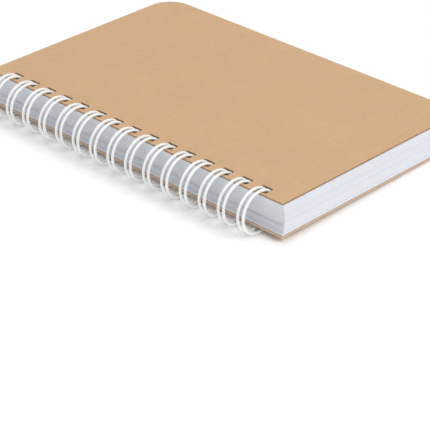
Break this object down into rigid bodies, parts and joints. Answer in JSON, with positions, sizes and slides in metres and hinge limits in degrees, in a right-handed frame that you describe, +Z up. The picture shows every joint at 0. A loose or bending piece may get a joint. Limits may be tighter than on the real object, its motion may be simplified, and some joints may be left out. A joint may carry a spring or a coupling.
{
  "type": "wire-bound sketchbook",
  "caption": "Pocket sketchbook: kraft board covers and paper sheets, each turning on a white twin-loop wire along the spine.",
  "frame": {"origin": "centre of the footprint, on the surface that the book rests on", "axes": "+Y along the spine, +X from the spine to the fore edge, +Z up through the front cover"},
  "size_m": [0.0988, 0.14, 0.0157],
  "materials": {
    "kraft_board": "matt unbleached kraft fibre, with dark specks",
    "sketch_paper": "matt white drawing paper",
    "white_wire": "glossy white nylon coating on steel wire"
  },
  "bodies": {
    "back_cover": {"back_cover": "kraft_board"},
    "front_cover": {"front_cover": "kraft_board"},
    "sheet_01": {"sheet_01": "sketch_paper"},
    "sheet_02": {"sheet_02": "sketch_paper"},
    "sheet_03": {"sheet_03": "sketch_paper"},
    "sheet_04": {"sheet_04": "sketch_paper"},
    "sheet_05": {"sheet_05": "sketch_paper"},
    "sheet_06": {"sheet_06": "sketch_paper"},
    "sheet_07": {"sheet_07": "sketch_paper"},
    "sheet_08": {"sheet_08": "sketch_paper"},
    "sheet_09": {"sheet_09": "sketch_paper"},
    "sheet_10": {"sheet_10": "sketch_paper"},
    "sheet_11": {"sheet_11": "sketch_paper"},
    "sheet_12": {"sheet_12": "sketch_paper"},
    "sheet_13": {"sheet_13": "sketch_paper"},
    "sheet_14": {"sheet_14": "sketch_paper"},
    "sheet_15": {"sheet_15": "sketch_paper"},
    "sheet_16": {"sheet_16": "sketch_paper"},
    "sheet_17": {"sheet_17": "sketch_paper"},
    "sheet_18": {"sheet_18": "sketch_paper"},
    "sheet_19": {"sheet_19": "sketch_paper"},
    "sheet_20": {"sheet_20": "sketch_paper"},
    "sheet_21": {"sheet_21": "sketch_paper"},
    "sheet_22": {"sheet_22": "sketch_paper"},
    "sheet_23": {"sheet_23": "sketch_paper"},
    "sheet_24": {"sheet_24": "sketch_paper"},
    "sheet_25": {"sheet_25": "sketch_paper"},
    "sheet_26": {"sheet_26": "sketch_paper"},
    "sheet_27": {"sheet_27": "sketch_paper"},
    "sheet_28": {"sheet_28": "sketch_paper"},
    "sheet_29": {"sheet_29": "sketch_paper"},
    "sheet_30": {"sheet_30": "sketch_paper"},
    "sheet_31": {"sheet_31": "sketch_paper"},
    "sheet_32": {"sheet_32": "sketch_paper"},
    "sheet_33": {"sheet_33": "sketch_paper"},
    "sheet_34": {"sheet_34": "sketch_paper"},
    "sheet_35": {"sheet_35": "sketch_paper"},
    "sheet_36": {"sheet_36": "sketch_paper"},
    "sheet_37": {"sheet_37": "sketch_paper"},
    "sheet_38": {"sheet_38": "sketch_paper"},
    "sheet_39": {"sheet_39": "sketch_paper"},
    "sheet_40": {"sheet_40": "sketch_paper"},
    "sheet_41": {"sheet_41": "sketch_paper"},
    "sheet_42": {"sheet_42": "sketch_paper"},
    "sheet_43": {"sheet_43": "sketch_paper"},
    "sheet_44": {"sheet_44": "sketch_paper"},
    "sheet_45": {"sheet_45": "sketch_paper"},
    "sheet_46": {"sheet_46": "sketch_paper"},
    "sheet_47": {"sheet_47": "sketch_paper"},
    "sheet_48": {"sheet_48": "sketch_paper"},
    "sheet_49": {"sheet_49": "sketch_paper"},
    "sheet_50": {"sheet_50": "sketch_paper"},
    "wire_binding": {"wire_binding": "white_wire"}
  },
  "joints": [
    {"name": "front_cover_turn", "type": "hinge", "parent": "sheet_01", "child": "front_cover", "pos_m": [-0.04157, 0, 0.00785], "axis": [0, -1, 0], "range_deg": [0, 180]},
    {"name": "wire_binding_turn", "type": "hinge", "parent": "back_cover", "child": "wire_binding", "pos_m": [-0.04157, 0, 0.00785], "axis": [0, -1, 0], "range_deg": [-219, 3]},
    {"name": "sheet_50_turn", "type": "hinge", "parent": "back_cover", "child": "sheet_50", "pos_m": [-0.04157, 0, 0.00785], "axis": [0, -1, 0], "range_deg": [0, 180]},
    {"name": "sheet_25_turn", "type": "hinge", "parent": "sheet_26", "child": "sheet_25", "pos_m": [-0.04157, 0, 0.00785], "axis": [0, -1, 0], "range_deg": [0, 180]},
    {"name": "sheet_01_turn", "type": "hinge", "parent": "sheet_02", "child": "sheet_01", "pos_m": [-0.04157, 0, 0.00785], "axis": [0, -1, 0], "range_deg": [0, 180]},
    {"name": "sheet_38_turn", "type": "hinge", "parent": "sheet_39", "child": "sheet_38", "pos_m": [-0.04157, 0, 0.00785], "axis": [0, -1, 0], "range_deg": [0, 180]},
    {"name": "sheet_13_turn", "type": "hinge", "parent": "sheet_14", "child": "sheet_13", "pos_m": [-0.04157, 0, 0.00785], "axis": [0, -1, 0], "range_deg": [0, 180]},
    {"name": "sheet_44_turn", "type": "hinge", "parent": "sheet_45", "child": "sheet_44", "pos_m": [-0.04157, 0, 0.00785], "axis": [0, -1, 0], "range_deg": [0, 180]},
    {"name": "sheet_31_turn", "type": "hinge", "parent": "sheet_32", "child": "sheet_31", "pos_m": [-0.04157, 0, 0.00785], "axis": [0, -1, 0], "range_deg": [0, 180]},
    {"name": "sheet_19_turn", "type": "hinge", "parent": "sheet_20", "child": "sheet_19", "pos_m": [-0.04157, 0, 0.00785], "axis": [0, -1, 0], "range_deg": [0, 180]},
    {"name": "sheet_07_turn", "type": "hinge", "parent": "sheet_08", "child": "sheet_07", "pos_m": [-0.04157, 0, 0.00785], "axis": [0, -1, 0], "range_deg": [0, 180]},
    {"name": "sheet_48_turn", "type": "hinge", "parent": "sheet_49", "child": "sheet_48", "pos_m": [-0.04157, 0, 0.00785], "axis": [0, -1, 0], "range_deg": [0, 180]},
    {"name": "sheet_41_turn", "type": "hinge", "parent": "sheet_42", "child": "sheet_41", "pos_m": [-0.04157, 0, 0.00785], "axis": [0, -1, 0], "range_deg": [0, 180]},
    {"name": "sheet_35_turn", "type": "hinge", "parent": "sheet_36", "child": "sheet_35", "pos_m": [-0.04157, 0, 0.00785], "axis": [0, -1, 0], "range_deg": [0, 180]},
    {"name": "sheet_28_turn", "type": "hinge", "parent": "sheet_29", "child": "sheet_28", "pos_m": [-0.04157, 0, 0.00785], "axis": [0, -1, 0], "range_deg": [0, 180]},
    {"name": "sheet_22_turn", "type": "hinge", "parent": "sheet_23", "child": "sheet_22", "pos_m": [-0.04157, 0, 0.00785], "axis": [0, -1, 0], "range_deg": [0, 180]},
    {"name": "sheet_16_turn", "type": "hinge", "parent": "sheet_17", "child": "sheet_16", "pos_m": [-0.04157, 0, 0.00785], "axis": [0, -1, 0], "range_deg": [0, 180]},
    {"name": "sheet_10_turn", "type": "hinge", "parent": "sheet_11", "child": "sheet_10", "pos_m": [-0.04157, 0, 0.00785], "axis": [0, -1, 0], "range_deg": [0, 180]},
    {"name": "sheet_04_turn", "type": "hinge", "parent": "sheet_05", "child": "sheet_04", "pos_m": [-0.04157, 0, 0.00785], "axis": [0, -1, 0], "range_deg": [0, 180]},
    {"name": "sheet_47_turn", "type": "hinge", "parent": "sheet_48", "child": "sheet_47", "pos_m": [-0.04157, 0, 0.00785], "axis": [0, -1, 0], "range_deg": [0, 180]},
    {"name": "sheet_46_turn", "type": "hinge", "parent": "sheet_47", "child": "sheet_46", "pos_m": [-0.04157, 0, 0.00785], "axis": [0, -1, 0], "range_deg": [0, 180]},
    {"name": "sheet_45_turn", "type": "hinge", "parent": "sheet_46", "child": "sheet_45", "pos_m": [-0.04157, 0, 0.00785], "axis": [0, -1, 0], "range_deg": [0, 180]},
    {"name": "sheet_43_turn", "type": "hinge", "parent": "sheet_44", "child": "sheet_43", "pos_m": [-0.04157, 0, 0.00785], "axis": [0, -1, 0], "range_deg": [0, 180]},
    {"name": "sheet_42_turn", "type": "hinge", "parent": "sheet_43", "child": "sheet_42", "pos_m": [-0.04157, 0, 0.00785], "axis": [0, -1, 0], "range_deg": [0, 180]},
    {"name": "sheet_40_turn", "type": "hinge", "parent": "sheet_41", "child": "sheet_40", "pos_m": [-0.04157, 0, 0.00785], "axis": [0, -1, 0], "range_deg": [0, 180]},
    {"name": "sheet_39_turn", "type": "hinge", "parent": "sheet_40", "child": "sheet_39", "pos_m": [-0.04157, 0, 0.00785], "axis": [0, -1, 0], "range_deg": [0, 180]},
    {"name": "sheet_37_turn", "type": "hinge", "parent": "sheet_38", "child": "sheet_37", "pos_m": [-0.04157, 0, 0.00785], "axis": [0, -1, 0], "range_deg": [0, 180]},
    {"name": "sheet_36_turn", "type": "hinge", "parent": "sheet_37", "child": "sheet_36", "pos_m": [-0.04157, 0, 0.00785], "axis": [0, -1, 0], "range_deg": [0, 180]},
    {"name": "sheet_34_turn", "type": "hinge", "parent": "sheet_35", "child": "sheet_34", "pos_m": [-0.04157, 0, 0.00785], "axis": [0, -1, 0], "range_deg": [0, 180]},
    {"name": "sheet_33_turn", "type": "hinge", "parent": "sheet_34", "child": "sheet_33", "pos_m": [-0.04157, 0, 0.00785], "axis": [0, -1, 0], "range_deg": [0, 180]},
    {"name": "sheet_32_turn", "type": "hinge", "parent": "sheet_33", "child": "sheet_32", "pos_m": [-0.04157, 0, 0.00785], "axis": [0, -1, 0], "range_deg": [0, 180]},
    {"name": "sheet_30_turn", "type": "hinge", "parent": "sheet_31", "child": "sheet_30", "pos_m": [-0.04157, 0, 0.00785], "axis": [0, -1, 0], "range_deg": [0, 180]},
    {"name": "sheet_29_turn", "type": "hinge", "parent": "sheet_30", "child": "sheet_29", "pos_m": [-0.04157, 0, 0.00785], "axis": [0, -1, 0], "range_deg": [0, 180]},
    {"name": "sheet_27_turn", "type": "hinge", "parent": "sheet_28", "child": "sheet_27", "pos_m": [-0.04157, 0, 0.00785], "axis": [0, -1, 0], "range_deg": [0, 180]},
    {"name": "sheet_26_turn", "type": "hinge", "parent": "sheet_27", "child": "sheet_26", "pos_m": [-0.04157, 0, 0.00785], "axis": [0, -1, 0], "range_deg": [0, 180]},
    {"name": "sheet_24_turn", "type": "hinge", "parent": "sheet_25", "child": "sheet_24", "pos_m": [-0.04157, 0, 0.00785], "axis": [0, -1, 0], "range_deg": [0, 180]},
    {"name": "sheet_23_turn", "type": "hinge", "parent": "sheet_24", "child": "sheet_23", "pos_m": [-0.04157, 0, 0.00785], "axis": [0, -1, 0], "range_deg": [0, 180]},
    {"name": "sheet_21_turn", "type": "hinge", "parent": "sheet_22", "child": "sheet_21", "pos_m": [-0.04157, 0, 0.00785], "axis": [0, -1, 0], "range_deg": [0, 180]},
    {"name": "sheet_20_turn", "type": "hinge", "parent": "sheet_21", "child": "sheet_20", "pos_m": [-0.04157, 0, 0.00785], "axis": [0, -1, 0], "range_deg": [0, 180]},
    {"name": "sheet_18_turn", "type": "hinge", "parent": "sheet_19", "child": "sheet_18", "pos_m": [-0.04157, 0, 0.00785], "axis": [0, -1, 0], "range_deg": [0, 180]},
    {"name": "sheet_17_turn", "type": "hinge", "parent": "sheet_18", "child": "sheet_17", "pos_m": [-0.04157, 0, 0.00785], "axis": [0, -1, 0], "range_deg": [0, 180]},
    {"name": "sheet_15_turn", "type": "hinge", "parent": "sheet_16", "child": "sheet_15", "pos_m": [-0.04157, 0, 0.00785], "axis": [0, -1, 0], "range_deg": [0, 180]},
    {"name": "sheet_14_turn", "type": "hinge", "parent": "sheet_15", "child": "sheet_14", "pos_m": [-0.04157, 0, 0.00785], "axis": [0, -1, 0], "range_deg": [0, 180]},
    {"name": "sheet_12_turn", "type": "hinge", "parent": "sheet_13", "child": "sheet_12", "pos_m": [-0.04157, 0, 0.00785], "axis": [0, -1, 0], "range_deg": [0, 180]},
    {"name": "sheet_11_turn", "type": "hinge", "parent": "sheet_12", "child": "sheet_11", "pos_m": [-0.04157, 0, 0.00785], "axis": [0, -1, 0], "range_deg": [0, 180]},
    {"name": "sheet_09_turn", "type": "hinge", "parent": "sheet_10", "child": "sheet_09", "pos_m": [-0.04157, 0, 0.00785], "axis": [0, -1, 0], "range_deg": [0, 180]},
    {"name": "sheet_08_turn", "type": "hinge", "parent": "sheet_09", "child": "sheet_08", "pos_m": [-0.04157, 0, 0.00785], "axis": [0, -1, 0], "range_deg": [0, 180]},
    {"name": "sheet_06_turn", "type": "hinge", "parent": "sheet_07", "child": "sheet_06", "pos_m": [-0.04157, 0, 0.00785], "axis": [0, -1, 0], "range_deg": [0, 180]},
    {"name": "sheet_05_turn", "type": "hinge", "parent": "sheet_06", "child": "sheet_05", "pos_m": [-0.04157, 0, 0.00785], "axis": [0, -1, 0], "range_deg": [0, 180]},
    {"name": "sheet_03_turn", "type": "hinge", "parent": "sheet_04", "child": "sheet_03", "pos_m": [-0.04157, 0, 0.00785], "axis": [0, -1, 0], "range_deg": [0, 180]},
    {"name": "sheet_02_turn", "type": "hinge", "parent": "sheet_03", "child": "sheet_02", "pos_m": [-0.04157, 0, 0.00785], "axis": [0, -1, 0], "range_deg": [0, 180]},
    {"name": "sheet_49_turn", "type": "hinge", "parent": "sheet_50", "child": "sheet_49", "pos_m": [-0.04157, 0, 0.00785], "axis": [0, -1, 0], "range_deg": [0, 180]}
  ]
}
